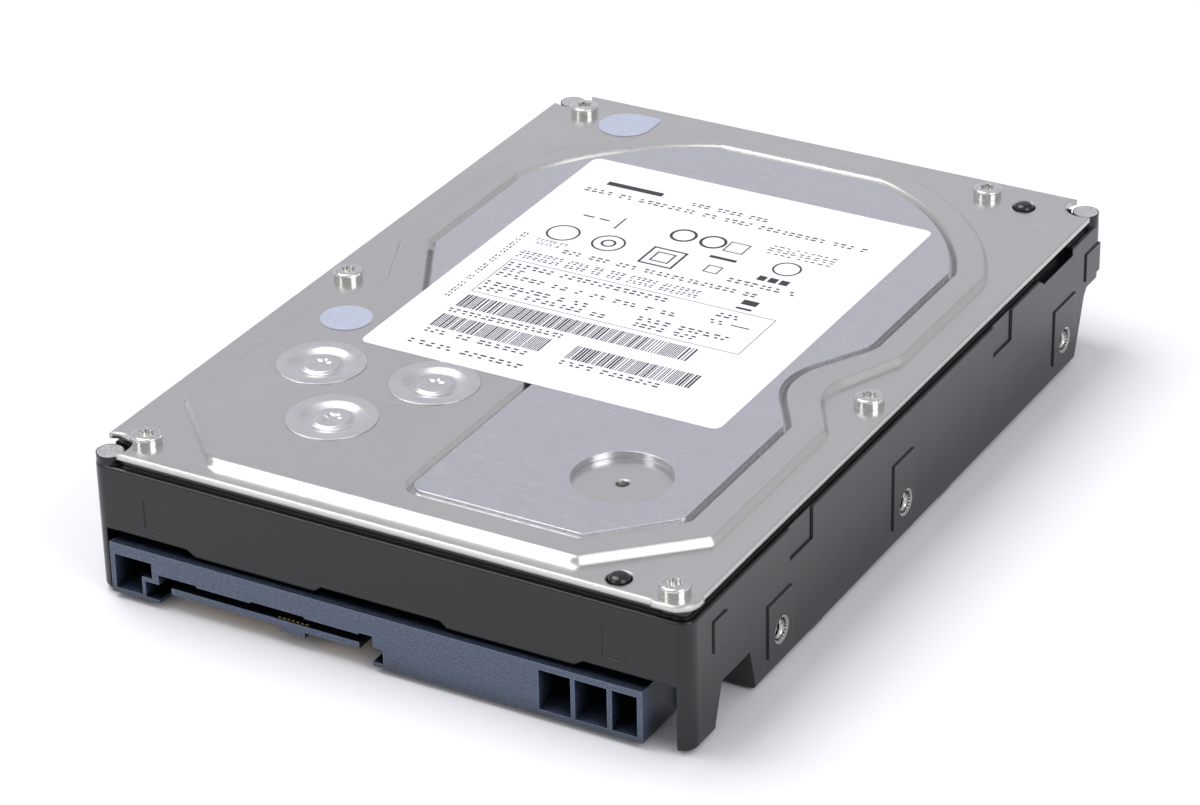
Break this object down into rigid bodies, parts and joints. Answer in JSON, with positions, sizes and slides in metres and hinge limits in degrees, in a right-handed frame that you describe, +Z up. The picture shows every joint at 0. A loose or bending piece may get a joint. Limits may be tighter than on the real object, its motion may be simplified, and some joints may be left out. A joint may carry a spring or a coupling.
{
  "type": "hard disk drive",
  "caption": "Flat rectangular 3.5-inch disk drive with a black cast base, stamped steel cover, label, host connector, spinning discs and a swinging head actuator.",
  "frame": {"origin": "middle of the bottom datum plane, under the centre of the overall length and width", "axes": "+Z up through the cover, connector end faces -Y, +X right when looking at the connector end"},
  "size_m": [0.1016, 0.1454, 0.0257],
  "materials": {
    "black_ecoat": "satin black e-coat over die-cast aluminium, bare metal at machined spots",
    "satin_steel": "satin stainless sheet",
    "brushed_plate": "fine brushed, slightly blue",
    "gasket_rubber": "matt",
    "nickel_steel": "nickel plated",
    "foil": "dished foil",
    "blue_film": "satin film",
    "label_film": "white printed film",
    "white_plastic": "moulded",
    "filter_fabric": "felted filter media",
    "machined_steel": "turned",
    "copper_winding": "enamelled wire",
    "chrome_plate": "plated magnet",
    "amber_film": "flexible circuit film",
    "machined_aluminium": "machined",
    "dark_plastic": "moulded",
    "board_laminate": "solder mask",
    "chip_epoxy": "moulded epoxy",
    "ceramic_parts": "ceramic body",
    "foam_sheet": "insulating sheet",
    "slate_plastic": "glass-filled moulding, slate blue",
    "gold_contact": "gold plated",
    "dark_magnet": "bonded magnet and ceramic",
    "disc_mirror": "polished disc"
  },
  "bodies": {
    "base": {"base_casting": "black_ecoat", "top_cover": "satin_steel", "cover_damping_plate": "brushed_plate", "cover_gasket": "gasket_rubber", "cover_screws": "nickel_steel", "recessed_cover_screws": "nickel_steel", "screw_foil_seals": "foil", "round_hole_seal": "blue_film", "corner_hole_seal": "blue_film", "product_label": "label_film", "breather_filter_case": "white_plastic", "breather_filter_media": "filter_fabric", "recirculation_filter": "filter_fabric", "motor_bearing_sleeve": "machined_steel", "motor_stator_core": "machined_steel", "motor_stator_coils": "copper_winding", "lower_magnet_yoke": "nickel_steel", "upper_magnet_yoke": "nickel_steel", "lower_magnet": "chrome_plate", "upper_magnet": "chrome_plate", "yoke_posts": "machined_steel", "crash_stop_sleeves": "gasket_rubber", "latch_pin": "machined_steel", "load_ramp": "white_plastic", "ramp_and_bracket_screws": "nickel_steel", "flex_cable_loop": "amber_film", "flex_bracket": "machined_aluminium", "feedthrough_block": "dark_plastic", "pivot_shaft": "machined_steel", "circuit_board": "board_laminate", "board_screws": "nickel_steel", "controller_chip": "chip_epoxy", "memory_chip": "chip_epoxy", "motor_driver_chip": "chip_epoxy", "board_small_parts": "ceramic_parts", "board_insulator": "foam_sheet", "board_contact_blocks": "dark_plastic", "connector_housing": "slate_plastic", "connector_contacts": "gold_contact"},
    "disc_pack": {"motor_shaft": "machined_steel", "rotor_hub": "machined_aluminium", "rotor_magnet": "dark_magnet", "platter_1": "disc_mirror", "platter_2": "disc_mirror", "platter_3": "disc_mirror", "platter_4": "disc_mirror", "platter_5": "disc_mirror", "disc_spacer_rings": "machined_aluminium", "disc_clamp": "machined_aluminium", "clamp_screws": "nickel_steel"},
    "actuator": {"pivot_bearing_balls": "machined_steel", "pivot_bearing_sleeve": "machined_steel", "actuator_arms": "machined_aluminium", "head_suspensions": "satin_steel", "head_sliders": "dark_magnet", "voice_coil": "copper_winding", "coil_frame": "dark_plastic", "actuator_flex_tail": "amber_film", "preamplifier_chip": "chip_epoxy"},
    "latch": {"actuator_latch": "dark_plastic"}
  },
  "joints": [
    {"name": "disc_spin", "type": "hinge", "parent": "base", "child": "disc_pack", "pos_m": [0, 0.022, 0.012], "axis": [0, 0, 1], "continuous": true},
    {"name": "actuator_swing", "type": "hinge", "parent": "base", "child": "actuator", "pos_m": [-0.0142, -0.0325, 0.0142], "axis": [0, 0, 1], "range_deg": [0, 36.4]},
    {"name": "latch_swing", "type": "hinge", "parent": "base", "child": "latch", "pos_m": [-0.0433, -0.0466, 0.0142], "axis": [0, 0, 1], "range_deg": [0, 10]}
  ]
}
